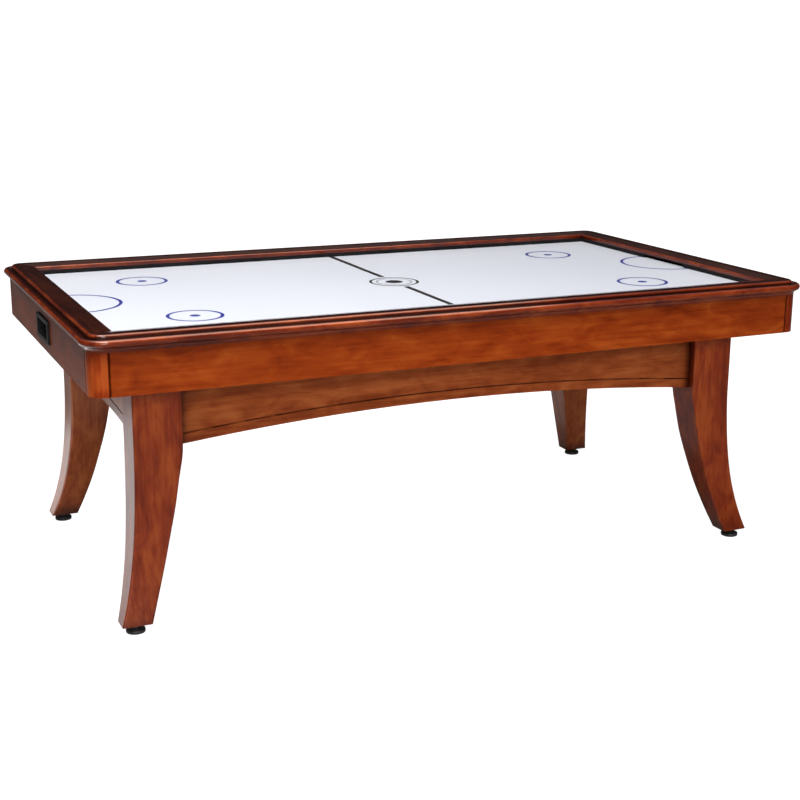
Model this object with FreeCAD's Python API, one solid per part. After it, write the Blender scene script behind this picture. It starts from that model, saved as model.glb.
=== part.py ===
import FreeCAD, Part
import math
import os

# Air hockey table, millimetres, +Z up. Origin on the floor under the table's centre.
# +X runs along the table's length, -Y is the long side a visitor faces.

V = FreeCAD.Vector
OUT = "parts"
os.makedirs(OUT, exist_ok=True)

# Cabinet
HALF_LEN = 1053.0        # outer face of the end aprons
HALF_WID = 598.0         # outer face of the long aprons
APRON_T = 19.0
APRON_Z0 = 664.5
APRON_Z1 = 775.5
POST_X = 47.0            # corner post's width on the long side
POST_Y = 55.0            # and on the end
POST_R = 43.0            # outer rounding of the post
V_GROOVE = 3.5           # chamfer on each side of the post-to-apron joint

# Rim moulding, measured outwards from the apron face
IN_LEN = 977.5           # inner edge of the end rails
IN_WID = 522.5           # inner edge of the long rails
RAIL_UNDER = 800.0       # underside of the rail board
RAIL_TOP = 818.5
EDGE_IN = 7.5            # upper moulding's edge, back from the apron face
EASE_W = 8.5             # its rounded shoulder, width and depth
EASE_H = 7.0
BEAD_OUT = 16.5          # how far the bead stands out from the apron
BEAD_R = 10.0
BEAD_Z = 799.0
COVE_OUT = 8.0           # cove under the bead
COVE_TOP = 788.5
COVE_END = 777.5
CORE_N = -38.0           # split between the swept moulding and the flat board
INNER_DROP = 5.0         # the board falls by this much to its inner edge
INNER_R = 4.5            # rounding of the inner edge

# Playfield, liners and plenum
FIELD_TOP = 788.0
FIELD_T = 6.0
FIELD_HX = 990.0
FIELD_HY = 535.0
LINER_HX = 976.0
LINER_HY = 521.0
LINER_T = 10.0
HOLE_PITCH = 48.0
HOLE_R = 0.8
HOLE_NX = 39
HOLE_NY = 21
PLENUM_HX = 960.0
PLENUM_HY = 505.0
BATTEN_T = 30.0
RIB_X = 504.0            # ribs stand between two rows of holes
RIB_T = 18.0
RIB_GAP = 60.0           # air passes round both ends of a rib
FLOOR_Z0 = 728.0
FLOOR_Z1 = 734.0
CLEAT = 25.0
JOIST_T = 19.0
JOIST_X = (-700.0, -350.0, 350.0, 700.0)
CLEAT_HX = 1000.0
BEAM_X = (797.0, 920.0)
BEAM_T = 28.0

# Goals and puck returns
GOAL_W = 224.0
GOAL_H = 10.0
BOX_X0 = 962.0
BOX_X1 = 1033.7
BOX_HY = 120.0
BOX_Z0 = 684.0
BOX_Z1 = 781.7
BOX_WALL = 3.0
BOX_FALL = 14.0          # the chute's floor falls by this much towards the return
RETURN_Z = 725.0
RETURN_W = 138.0
RETURN_H = 44.0
BEZEL_W = 166.0
BEZEL_H = 70.0
BEZEL_PROUD = 5.5
BEZEL_R = 12.0
BEZEL_EDGE = 2.5
BEZEL_SCREW_X = 76.0
BEZEL_SCREW_Z = 28.0
BEZEL_BORE = 1.9
SLEEVE_T = 3.0
SLEEVE_FIT = 0.5         # clearance round the sleeve in the apron

# Underframe
QUADRANTS = (("front_left", -1, -1), ("front_right", 1, -1), ("back_left", -1, 1), ("back_right", 1, 1))
LEG_BOLTS = ((828.0, 402.0), (888.0, 402.0))
BOLT_R = 4.0
BOLT_FIT = 0.3           # clearance in the leg beams
BOLT_DEEP = 60.0
LEG_TOP = 664.5
LEG_BOTTOM = 24.0
LEG_EDGE_R = 5.0
# height, then outer x, inner x, outer y and inner y of the leg's curved faces, which run straight above
LEG_CURVE = (
    (24.0, 984.0, 903.0, 511.0, 449.0),
    (60.0, 972.0, 891.0, 501.5, 431.5),
    (110.0, 958.5, 875.0, 490.0, 411.0),
    (170.0, 946.0, 857.0, 479.0, 391.0),
    (240.0, 936.0, 839.0, 470.5, 373.0),
    (330.0, 928.0, 818.0, 464.0, 355.5),
    (410.0, 924.5, 803.5, 460.5, 347.5),
    (486.0, 923.5, 793.0, 459.0, 345.0),
)
ARCH_END_Z = 478.3       # stretcher's lower edge at the legs
LONG_APEX_Z = 521.0
END_APEX_Z = 500.0
LONG_HALF = 792.7        # half length of the long stretchers
END_HALF = 344.8
LONG_FACE = 430.0        # outer face of the long stretchers
END_FACE = 895.0
STRETCHER_T = 25.0
GROOVE_UP = 27.5         # bead line above the arched edge
GROOVE_R = 2.2
BRACKET_Z = 570.0
BRACKET_H = 50.0
BRACKET_W = 40.0
BRACKET_T = 3.0
BRACKET_SCREWS = (582.0, 608.0)
SCREW_HEAD_R = 4.5
SCREW_HEAD_T = 2.2

# Levelers
FOOT_X = 944.0
FOOT_Y = 483.0
STEM_R = 4.0
RUN_GAP = 0.05           # radial running clearance
PAD_R = 25.5
PAD_H = 9.0
CUP_R = 21.0
CUP_TOP = 13.5
CUP_NECK_R = 12.0
SOLE = 4.0               # solid floor of the pad under the stem
INSERT_R = 6.5
INSERT_FLANGE_R = 12.0
INSERT_FLANGE_T = 2.0
INSERT_DEEP = 16.0
STEM_TOP = 60.0
NUT_FLAT = 6.5           # half the width across flats
NUT_H = 5.0

# Blower
BLOW_R = 92.0
BLOW_Z0 = 672.0
BLOW_WALL = 3.0
BLOW_FLANGE_R = 115.0
BLOW_HOLE_R = 86.0
INTAKE_R = 62.0
RIM_SCREWS = 103.0       # radius of the housing's and the bracket's screws
GUARD_SCREWS = 74.0
GUARD_Z = 668.4
GUARD_BAR = 2.0
GUARD_HALF = 70.0
GUARD_RINGS = (16.0, 28.0, 40.0, 52.0, 64.0)
WIRE_R = 1.2
EAR_R = 6.0
BRACKET_HUB = (30.0, 14.0)
ARM_RUN = (24.0, 112.0)
ARM_HALF = 10.0
MOTOR_R = 38.0
MOTOR_CAP_R = 30.0
MOTOR_CAP_H = 6.0
MOTOR_Z0 = 737.0
MOTOR_Z1 = 774.0
GLAND_R = 5.0
SHAFT_R = 4.0
SHAFT_Z0 = 692.0
WHEEL_R = 78.0
WHEEL_Z = (714.0, 717.0)
HUB_R = 14.0
HUB_Z = (696.0, 722.0)
RING_Z = (681.0, 684.0)
RING_IN = 70.0
BLADES = 24
BLADE_DEG = 1.3          # a blade's thickness, as an angle
BLADE_LINE = ((54.0, 0.0), (66.0, 3.4), (76.5, 10.5))

# Motor lead, held by saddles under the plenum floor
LEAD_R = 3.0
LEAD_JOIST = 350.0
LEAD_Y = 400.0
LEAD_Z = 714.0
LEAD_UP = 92.0
LEAD_IN = 27.4
LEAD_MOTOR_Z = 758.0
LEAD_BEND = 60.0
LEAD_TURN = 20.0
SADDLES = ((480.0, LEAD_Y, True), (200.0, LEAD_Y, True), (LEAD_UP, 240.0, False))
SADDLE_HALF = (6.0, 9.0)

# Power panel on the back apron
PANEL_X = 600.0
PANEL_Z = 690.0
PANEL_W = 96.0
PANEL_H = 40.0
PANEL_T = 2.5
SWITCH_X = 576.0
INLET_X = 622.0
ROCK_DEG = 8.0
WINDOW_W = 84.0          # cut-out in the apron
WINDOW_H = 30.0
CUT_W = 28.0             # cut-outs in the plate
CUT_H = 22.0
SHELL_W = 27.0           # body of the switch and of the inlet
SHELL_H = 21.0
LIP_W = 32.0
LIP_H = 26.0
LIP_T = 2.0
PLATE_SCREWS = (42.5, 15.0)
PIVOT_R = 1.2
ROCKER_W = 21.2
POCKET_H = 9.4           # half the height of the pocket that it rocks in
INLET_DEEP = 30.0
SWITCH_DEEP = 34.0
PINS = ((-7.0, -1.5), (7.0, -1.5), (0.0, 2.5))


def box(x0, x1, y0, y1, z0, z1):
    """Box between two corners, given low and high on each axis."""
    return Part.makeBox(x1 - x0, y1 - y0, z1 - z0, V(x0, y0, z0))


def cyl(r, p, q):
    """Cylinder of radius r from point p to point q."""
    d = q.sub(p)
    return Part.makeCylinder(r, d.Length, p, d)


def tube(r_out, r_in, z0, z1):
    """Upright tube on the Z axis."""
    outer = cyl(r_out, V(0, 0, z0), V(0, 0, z1))
    return outer.cut(cyl(r_in, V(0, 0, z0 - 1), V(0, 0, z1 + 1)))


def prism(points, direction):
    """Extrude a closed polygon."""
    return Part.Face(Part.makePolygon(list(points) + [points[0]])).extrude(direction)


def mirrored(shape, sx, sy):
    """Mirror a shape built at +X, +Y into another quadrant."""
    if sx < 0:
        shape = shape.mirror(V(0, 0, 0), V(1, 0, 0))
    if sy < 0:
        shape = shape.mirror(V(0, 0, 0), V(0, 1, 0))
    return shape


def save(name, *solids):
    """Write one node: one solid, or a group of separate solids."""
    shape = solids[0] if len(solids) == 1 else Part.makeCompound(list(solids))
    shape.exportStep(os.path.join(OUT, name + ".step"))


def rounded_rect(x0, x1, y0, y1, z, r):
    """Closed wire: rectangle with rounded corners in a level plane."""
    k = r * (1 - math.sqrt(0.5))
    pts = [V(x0 + r, y0, z), V(x1 - r, y0, z), V(x1, y0 + r, z), V(x1, y1 - r, z),
           V(x1 - r, y1, z), V(x0 + r, y1, z), V(x0, y1 - r, z), V(x0, y0 + r, z)]
    mids = [V(x1 - k, y0 + k, z), V(x1 - k, y1 - k, z), V(x0 + k, y1 - k, z), V(x0 + k, y0 + k, z)]
    edges = []
    for i in range(4):
        a, b, c = pts[2 * i], pts[2 * i + 1], pts[(2 * i + 2) % 8]
        edges.append(Part.makeLine(a, b))
        edges.append(Part.Arc(b, mids[i], c).toShape())
    return Part.Wire(edges)


def slab(cx, w, cz, h, r, y0, y1):
    """Rounded rectangle in the XZ plane, extruded from y0 to y1."""
    flat = Part.Face(rounded_rect(cx - w / 2, cx + w / 2, -cz - h / 2, -cz + h / 2, 0, r))
    solid = flat.extrude(V(0, 0, y1 - y0))
    solid.rotate(V(0, 0, 0), V(1, 0, 0), -90)
    solid.translate(V(0, y0, 0))
    return solid


# ---------------------------------------------------------------- cabinet

def apron_long():
    """Long apron at the back (+Y), V-chamfered where it meets the posts."""
    half = HALF_LEN - POST_X
    y1 = HALF_WID
    y0 = y1 - APRON_T
    g = V_GROOVE
    outline = [V(-half, y0, APRON_Z0), V(half, y0, APRON_Z0), V(half, y1 - g, APRON_Z0),
               V(half - g, y1, APRON_Z0), V(-half + g, y1, APRON_Z0), V(-half, y1 - g, APRON_Z0)]
    return prism(outline, V(0, 0, APRON_Z1 - APRON_Z0))


def apron_end():
    """End apron at +X with the puck return's cut-out."""
    half = HALF_WID - POST_Y
    x1 = HALF_LEN
    x0 = x1 - APRON_T
    g = V_GROOVE
    outline = [V(x0, -half, APRON_Z0), V(x0, half, APRON_Z0), V(x1 - g, half, APRON_Z0),
               V(x1, half - g, APRON_Z0), V(x1, -half + g, APRON_Z0), V(x1 - g, -half, APRON_Z0)]
    body = prism(outline, V(0, 0, APRON_Z1 - APRON_Z0))
    w = RETURN_W / 2 + SLEEVE_T + SLEEVE_FIT
    h = RETURN_H / 2 + SLEEVE_T + SLEEVE_FIT
    return body.cut(box(x0 - 1, x1 + 1, -w, w, RETURN_Z - h, RETURN_Z + h))


def corner_post():
    """Corner post at +X, +Y: outer edge rounded, both joint edges chamfered."""
    x1, y1 = HALF_LEN, HALF_WID
    x0, y0 = x1 - POST_X, y1 - POST_Y
    k = POST_R * (1 - math.sqrt(0.5))
    g = V_GROOVE
    z = APRON_Z0
    arc = Part.Arc(V(x1, y1 - POST_R, z), V(x1 - k, y1 - k, z), V(x1 - POST_R, y1, z)).toShape()
    pts = [V(x1 - POST_R, y1, z), V(x0 + g, y1, z), V(x0, y1 - g, z), V(x0, y0, z),
           V(x1 - g, y0, z), V(x1, y0 + g, z), V(x1, y1 - POST_R, z)]
    edges = [arc] + [Part.makeLine(a, b) for a, b in zip(pts, pts[1:])]
    return Part.Face(Part.Wire(edges)).extrude(V(0, 0, APRON_Z1 - APRON_Z0))


def moulding_face(place):
    """Outer moulding section; place(n, z) maps outward distance and height to a point."""
    def line(a, b):
        return Part.makeLine(place(*a), place(*b))

    def arc(a, b, c):
        return Part.Arc(place(*a), place(*b), place(*c)).toShape()

    cx = BEAD_OUT - BEAD_R
    d = BEAD_R * math.sqrt(0.5)
    quirk = (cx - 0.8 * BEAD_R, BEAD_Z + 0.6 * BEAD_R)
    under = (cx + 0.35 * BEAD_R, BEAD_Z - math.sqrt(1 - 0.35 ** 2) * BEAD_R)
    ease = (-EDGE_IN - EASE_W, RAIL_TOP)
    edge = (-EDGE_IN, RAIL_TOP - EASE_H)
    shoulder = (-EDGE_IN - 0.27 * EASE_W, RAIL_TOP - 0.31 * EASE_H)
    edges = [
        line((CORE_N, RAIL_UNDER), (CORE_N, RAIL_TOP)),
        line((CORE_N, RAIL_TOP), ease),
        arc(ease, shoulder, edge),
        line(edge, (-EDGE_IN, quirk[1])),
        line((-EDGE_IN, quirk[1]), quirk),
        arc(quirk, (cx, BEAD_Z + BEAD_R), (cx + d, BEAD_Z + d)),
        arc((cx + d, BEAD_Z + d), (BEAD_OUT, BEAD_Z), under),
        line(under, (COVE_OUT, COVE_TOP)),
        arc((COVE_OUT, COVE_TOP), (0.3 * COVE_OUT, (COVE_TOP + COVE_END) / 2 + 1.5), (0.0, COVE_END)),
        line((0.0, COVE_END), (0.0, APRON_Z1)),
        line((0.0, APRON_Z1), (-APRON_T, APRON_Z1)),
        line((-APRON_T, APRON_Z1), (-APRON_T, RAIL_UNDER)),
        line((-APRON_T, RAIL_UNDER), (CORE_N, RAIL_UNDER)),
    ]
    return Part.Face(Part.Wire(edges))


def board_strip(inner, outer, place, direction):
    """Flat part of a rail with its rounded inner edge."""
    top_in = RAIL_TOP - INNER_DROP
    k = INNER_R * (1 - math.sqrt(0.5))
    edges = [
        Part.makeLine(place(inner, RAIL_UNDER), place(inner, top_in - INNER_R)),
        Part.Arc(place(inner, top_in - INNER_R), place(inner + k, top_in - k),
                 place(inner + INNER_R, top_in)).toShape(),
        Part.makeLine(place(inner + INNER_R, top_in), place(outer, RAIL_TOP)),
        Part.makeLine(place(outer, RAIL_TOP), place(outer, RAIL_UNDER)),
        Part.makeLine(place(outer, RAIL_UNDER), place(inner, RAIL_UNDER)),
    ]
    return Part.Face(Part.Wire(edges)).extrude(direction)


def rim_side(half_run, inner, face, along_x):
    """One full rim side, before mitring: straight moulding, board and rounded ends."""
    cx, cy = HALF_LEN - POST_R, HALF_WID - POST_R
    if along_x:
        place = lambda n, z: V(-half_run, face + n, z)
        board_at = lambda d, z: V(-HALF_LEN, d, z)
        run = V(2 * half_run, 0, 0)
        board_run = V(2 * HALF_LEN, 0, 0)
        ends = [(V(-cx, cy, 0), 90), (V(cx, cy, 0), -90)]
    else:
        place = lambda n, z: V(face + n, -half_run, z)
        board_at = lambda d, z: V(d, -HALF_WID, z)
        run = V(0, 2 * half_run, 0)
        board_run = V(0, 2 * HALF_WID, 0)
        ends = [(V(cx, -cy, 0), -90), (V(cx, cy, 0), 90)]
    solid = moulding_face(place).extrude(run)
    solid = solid.fuse(board_strip(inner, face + CORE_N, board_at, board_run))
    for i, (centre, angle) in enumerate(ends):
        section = moulding_face(place)
        if i == 1:
            section.translate(run)
        solid = solid.fuse(section.revolve(centre, V(0, 0, 1), angle))
    return solid


def mitre_wedge():
    """Region of the end rail at +X, bounded by the two mitre planes."""
    reach = (POST_R + BEAD_OUT) * math.sqrt(0.5)
    dx = HALF_LEN - POST_R + reach - IN_LEN
    dy = HALF_WID - POST_R + reach - IN_WID
    k = 4.0
    pts = [V(IN_LEN, -IN_WID, 700), V(IN_LEN + k * dx, -IN_WID - k * dy, 700),
           V(IN_LEN + k * dx, IN_WID + k * dy, 700), V(IN_LEN, IN_WID, 700)]
    return prism(pts, V(0, 0, 200))


def rails():
    """Four mitred rails."""
    wedge = mitre_wedge()
    other = mirrored(wedge, -1, 1)
    cx, cy = HALF_LEN - POST_R, HALF_WID - POST_R
    long_side = rim_side(cx, IN_WID, HALF_WID, True).cut(wedge).cut(other)
    long_side = long_side.common(box(-1200, 1200, IN_WID, 700, 700, 900))
    end_side = rim_side(cy, IN_LEN, HALF_LEN, False).common(wedge)
    save("rail_back", long_side)
    save("rail_front", mirrored(long_side, 1, -1))
    save("rail_right", end_side)
    save("rail_left", mirrored(end_side, -1, 1))


def cabinet():
    """Aprons, posts, cleats, joists and the beams that the legs bolt to."""
    back = apron_long()
    window = box(PANEL_X - WINDOW_W / 2, PANEL_X + WINDOW_W / 2, HALF_WID - APRON_T - 1, HALF_WID + 1,
                 PANEL_Z - WINDOW_H / 2, PANEL_Z + WINDOW_H / 2)
    save("apron_front", mirrored(back, 1, -1))
    save("apron_back", back.cut(window))
    end = apron_end()
    save("apron_right", end)
    save("apron_left", mirrored(end, -1, 1))
    post = corner_post()
    for name, sx, sy in QUADRANTS:
        save("corner_post_" + name, mirrored(post, sx, sy))
    inner = HALF_WID - APRON_T
    cleat = box(-CLEAT_HX, CLEAT_HX, inner - CLEAT, inner, FLOOR_Z0 - CLEAT, FLOOR_Z0)
    save("floor_cleats", cleat, mirrored(cleat, 1, -1))
    joists = []
    for x in JOIST_X:
        joist = box(x - JOIST_T / 2, x + JOIST_T / 2, -inner, inner, APRON_Z0, FLOOR_Z0)
        joist = joist.cut(cleat).cut(mirrored(cleat, 1, -1))
        if x == LEAD_JOIST:
            joist = joist.cut(cyl(2 * LEAD_R, V(x - 20, LEAD_Y, LEAD_Z), V(x + 20, LEAD_Y, LEAD_Z)))
        joists.append(joist)
    save("floor_joists", *joists)
    beam = box(BEAM_X[0], BEAM_X[1], -inner, inner, APRON_Z0, APRON_Z0 + BEAM_T)
    for x, y in LEG_BOLTS:
        for sy in (-1, 1):
            beam = beam.cut(cyl(BOLT_R + BOLT_FIT, V(x, sy * y, 600), V(x, sy * y, 700)))
    save("leg_beams", beam, mirrored(beam, -1, 1))


# ---------------------------------------------------------------- playing surface

def playfield():
    """Perforated panel: one face with every air hole, extruded once."""
    z = FIELD_TOP - FIELD_T
    outer = Part.makePolygon([V(-FIELD_HX, -FIELD_HY, z), V(FIELD_HX, -FIELD_HY, z),
                              V(FIELD_HX, FIELD_HY, z), V(-FIELD_HX, FIELD_HY, z),
                              V(-FIELD_HX, -FIELD_HY, z)])
    wires = [outer]
    for i in range(HOLE_NX):
        for j in range(HOLE_NY):
            x = (i - (HOLE_NX - 1) / 2) * HOLE_PITCH
            y = (j - (HOLE_NY - 1) / 2) * HOLE_PITCH
            wires.append(Part.Wire([Part.makeCircle(HOLE_R, V(x, y, z))]))
    face = Part.Face(wires, "Part::FaceMakerBullseye")
    save("playfield", face.extrude(V(0, 0, FIELD_T)))


def liners():
    """Black banking strips between the playfield and the rails, slotted at the goals."""
    x0, x1 = LINER_HX, LINER_HX + LINER_T
    y0, y1 = LINER_HY, LINER_HY + LINER_T
    side = box(-x1, x1, y0, y1, FIELD_TOP, RAIL_UNDER)
    save("liner_back", side)
    save("liner_front", mirrored(side, 1, -1))
    end = box(x0, x1, -y0, y0, FIELD_TOP, RAIL_UNDER)
    slot = box(x0 - 1, x1 + 1, -GOAL_W / 2, GOAL_W / 2, FIELD_TOP - 1, FIELD_TOP + GOAL_H)
    end = end.cut(slot)
    save("liner_right", end)
    save("liner_left", mirrored(end, -1, 1))


def plenum():
    """Air box under the playfield: floor panel, four sides and two ribs."""
    floor = box(-PLENUM_HX, PLENUM_HX, -HALF_WID + APRON_T, HALF_WID - APRON_T, FLOOR_Z0, FLOOR_Z1)
    holes = [(0, 0, BLOW_HOLE_R), (LEAD_UP, LEAD_UP, LEAD_R + 2.5)]
    holes += [(x, y, 2.0) for x, y in cross_points(RIM_SCREWS, 45)]
    for x, y, r in holes:
        floor = floor.cut(cyl(r, V(x, y, FLOOR_Z0 - 1), V(x, y, FLOOR_Z1 + 1)))
    save("plenum_floor", floor)
    top = FIELD_TOP - FIELD_T
    side = box(-PLENUM_HX, PLENUM_HX, PLENUM_HY, PLENUM_HY + BATTEN_T, FLOOR_Z1, top)
    end = box(PLENUM_HX - BATTEN_T, PLENUM_HX, -PLENUM_HY, PLENUM_HY, FLOOR_Z1, top)
    rib = box(RIB_X - RIB_T / 2, RIB_X + RIB_T / 2, -PLENUM_HY + RIB_GAP, PLENUM_HY - RIB_GAP,
              FLOOR_Z1, top)
    save("plenum_frame", side, mirrored(side, 1, -1), end, mirrored(end, -1, 1),
         rib, mirrored(rib, -1, 1))


# ---------------------------------------------------------------- goals

def goal_box():
    """Chute at +X: the puck drops over the field's edge and slides out to the return."""
    outer = box(BOX_X0, BOX_X1, -BOX_HY, BOX_HY, BOX_Z0, BOX_Z1)
    w = BOX_WALL
    y = BOX_HY - w
    low = RETURN_Z - RETURN_H / 2
    hollow = prism([V(BOX_X0 + w, -y, low + BOX_FALL), V(BOX_X1 - w, -y, low),
                    V(BOX_X1 - w, -y, BOX_Z1 + 5), V(BOX_X0 + w, -y, BOX_Z1 + 5)], V(0, 2 * y, 0))
    mouth = box(BOX_X1 - 2 * w, BOX_X1 + 1, -RETURN_W / 2, RETURN_W / 2, low, low + RETURN_H)
    return outer.cut(hollow).cut(mouth)


def puck_return():
    """Bezel at +X: rounded plate on the apron with a sleeve through it."""
    x0 = HALF_LEN
    plate = slab(0, BEZEL_W, RETURN_Z, BEZEL_H, BEZEL_R, 0, BEZEL_PROUD)
    front = [e for e in plate.Edges if abs(e.BoundBox.YMin - BEZEL_PROUD) < 0.01
             and abs(e.BoundBox.YMax - BEZEL_PROUD) < 0.01]
    plate = plate.makeFillet(BEZEL_EDGE, front)
    sleeve = slab(0, RETURN_W + 2 * SLEEVE_T, RETURN_Z, RETURN_H + 2 * SLEEVE_T, 7, -APRON_T, 0)
    hole = slab(0, RETURN_W, RETURN_Z, RETURN_H, 4, -APRON_T - 1, BEZEL_PROUD + 1)
    part = plate.fuse(sleeve).cut(hole)
    for sx, sz in ((-1, -1), (-1, 1), (1, -1), (1, 1)):
        x, z = sx * BEZEL_SCREW_X, RETURN_Z + sz * BEZEL_SCREW_Z
        part = part.cut(cyl(BEZEL_BORE, V(x, -1, z), V(x, BEZEL_PROUD + 1, z)))
    part.rotate(V(0, 0, 0), V(0, 0, 1), -90)
    part.translate(V(x0, 0, 0))
    return part


def goals():
    chute = goal_box()
    bezel = puck_return()
    save("goal_box_right", chute)
    save("goal_box_left", mirrored(chute, -1, 1))
    save("puck_return_right", bezel)
    save("puck_return_left", mirrored(bezel, -1, 1))


# ---------------------------------------------------------------- underframe

def leg_profile(outer, inner, place):
    """Side view of the leg between two columns of its curve; place(across, z) maps to a point."""
    up = place(0, 1).sub(place(0, 0))

    def side(column):
        points = [place(row[column], row[0]) for row in LEG_CURVE]
        top = place(LEG_CURVE[-1][column], LEG_TOP)
        curve = Part.BSplineCurve()
        curve.interpolate(Points=points, InitialTangent=points[1].sub(points[0]), FinalTangent=up)
        return points[0], top, [curve.toShape(), Part.makeLine(points[-1], top)]

    low_out, top_out, edges_out = side(outer)
    low_in, top_in, edges_in = side(inner)
    edges = edges_out + edges_in + [Part.makeLine(top_out, top_in), Part.makeLine(low_in, low_out)]
    return Part.Face(Part.Wire(Part.__sortEdges__(edges)))


def leg():
    """Sabre leg at +X, +Y, swept outwards in both directions, drilled for its hardware."""
    along = leg_profile(1, 2, lambda a, z: V(a, 0, z)).extrude(V(0, HALF_WID, 0))
    across = leg_profile(3, 4, lambda a, z: V(0, a, z)).extrude(V(HALF_LEN, 0, 0))
    solid = along.common(across)
    uprights = [e for e in solid.Edges if e.BoundBox.ZLength > LEG_EDGE_R]
    solid = solid.makeFillet(LEG_EDGE_R, uprights)
    for x, y in LEG_BOLTS:
        solid = solid.cut(cyl(BOLT_R + 0.1, V(x, y, LEG_TOP - BOLT_DEEP - 2), V(x, y, LEG_TOP + 1)))
    bore_top = LEG_BOTTOM + 40
    solid = solid.cut(cyl(INSERT_R + 0.1, V(FOOT_X, FOOT_Y, 0), V(FOOT_X, FOOT_Y, bore_top)))
    return solid


def arched(half, apex, face):
    """Stretcher along X with its outer face at +Y: arched lower edge and a bead line."""
    rise = apex - ARCH_END_Z
    radius = (half * half + rise * rise) / (2 * rise)
    centre = apex - radius
    solid = box(-half, half, face - STRETCHER_T, face, ARCH_END_Z - 20, LEG_TOP)
    solid = solid.cut(cyl(radius, V(0, face - STRETCHER_T - 1, centre), V(0, face + 1, centre)))
    solid = solid.common(box(-half, half, face - 60, face + 1, ARCH_END_Z - 0.5, LEG_TOP))
    groove = Part.makeTorus(radius + GROOVE_UP, GROOVE_R, V(0, face, centre), V(0, 1, 0))
    return solid.cut(groove)


def underframe():
    one = leg()
    for name, sx, sy in QUADRANTS:
        save("leg_" + name, mirrored(one, sx, sy))
    long_side = arched(LONG_HALF, LONG_APEX_Z, LONG_FACE)
    save("stretcher_back", long_side)
    save("stretcher_front", mirrored(long_side, 1, -1))
    end = arched(END_HALF, END_APEX_Z, END_FACE)
    end.rotate(V(0, 0, 0), V(0, 0, 1), -90)
    save("stretcher_right", end)
    save("stretcher_left", mirrored(end, -1, 1))
    brackets = []
    screws = []
    for _, sx, sy in QUADRANTS:
        y = LONG_FACE - STRETCHER_T
        x = LONG_HALF
        brackets.append(mirrored(angle_bracket(V(x, y, BRACKET_Z)), sx, sy))
        x -= BRACKET_W / 2
        y -= BRACKET_T
        for z in BRACKET_SCREWS:
            screw = cyl(SCREW_HEAD_R, V(x, y - SCREW_HEAD_T, z), V(x, y, z))
            screws.append(mirrored(screw, sx, sy))
    save("frame_brackets", *brackets)
    save("bracket_screws", *screws)


def angle_bracket(corner):
    """Steel angle in the corner between a long stretcher's inner face and a leg."""
    t = BRACKET_T
    w = BRACKET_W
    x, y, z = corner.x, corner.y, corner.z
    flange = box(x - w, x - t, y - t, y, z, z + BRACKET_H)
    ear = box(x - t, x, y - w, y, z, z + BRACKET_H)
    return flange.fuse(ear)


def leg_hardware():
    """Hanger bolts with washer and nut above each leg beam."""
    bolts = []
    top = APRON_Z0 + BEAM_T
    for _, sx, sy in QUADRANTS:
        for x, y in LEG_BOLTS:
            rod = cyl(BOLT_R, V(x, y, LEG_TOP - BOLT_DEEP), V(x, y, top + 12))
            washer = cyl(9.0, V(x, y, top), V(x, y, top + 1.6))
            nut = hexagon(x, y, 6.5, top + 1.6, top + 8.4)
            bolts.append(mirrored(rod.fuse(washer).fuse(nut), sx, sy))
    save("leg_bolts", *bolts)


def hexagon(x, y, flat, z0, z1):
    """Upright hexagonal prism, flat is half the width across flats."""
    r = flat / math.cos(math.pi / 6)
    pts = [V(x + r * math.cos(i * math.pi / 3), y + r * math.sin(i * math.pi / 3), z0)
           for i in range(6)]
    return prism(pts, V(0, 0, z1 - z0))


def levelers():
    """Insert in the leg, threaded stem and swivel pad, for each leg."""
    x, y = FOOT_X, FOOT_Y
    under = LEG_BOTTOM - INSERT_FLANGE_T
    barrel = cyl(INSERT_R, V(x, y, under), V(x, y, LEG_BOTTOM + INSERT_DEEP))
    flange = cyl(INSERT_FLANGE_R, V(x, y, under), V(x, y, LEG_BOTTOM))
    insert = barrel.fuse(flange)
    insert = insert.cut(cyl(STEM_R + RUN_GAP, V(x, y, 0), V(x, y, STEM_TOP)))
    stem = cyl(STEM_R, V(x, y, SOLE + 0.2), V(x, y, STEM_TOP))
    stem = stem.fuse(hexagon(x, y, NUT_FLAT, CUP_TOP + 0.3, CUP_TOP + 0.3 + NUT_H))
    base = cyl(PAD_R, V(x, y, 0), V(x, y, PAD_H))
    base = base.makeFillet(1.5, [e for e in base.Edges if e.BoundBox.ZLength < 0.01])
    cup = Part.makeCone(CUP_R, CUP_NECK_R, CUP_TOP - PAD_H, V(x, y, PAD_H))
    pad = base.fuse(cup).cut(cyl(STEM_R + RUN_GAP, V(x, y, SOLE), V(x, y, CUP_TOP + 1)))
    save("leveler_inserts", *[mirrored(insert, sx, sy) for _, sx, sy in QUADRANTS])
    for name, sx, sy in QUADRANTS:
        save("leveler_stem_" + name, mirrored(stem, sx, sy))
        save("leveler_pad_" + name, mirrored(pad, sx, sy))


# ---------------------------------------------------------------- blower and power

def cross_points(radius, start):
    """Four points a quarter turn apart."""
    angles = [math.radians(start + 90 * i) for i in range(4)]
    return [(radius * math.cos(a), radius * math.sin(a)) for a in angles]


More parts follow.
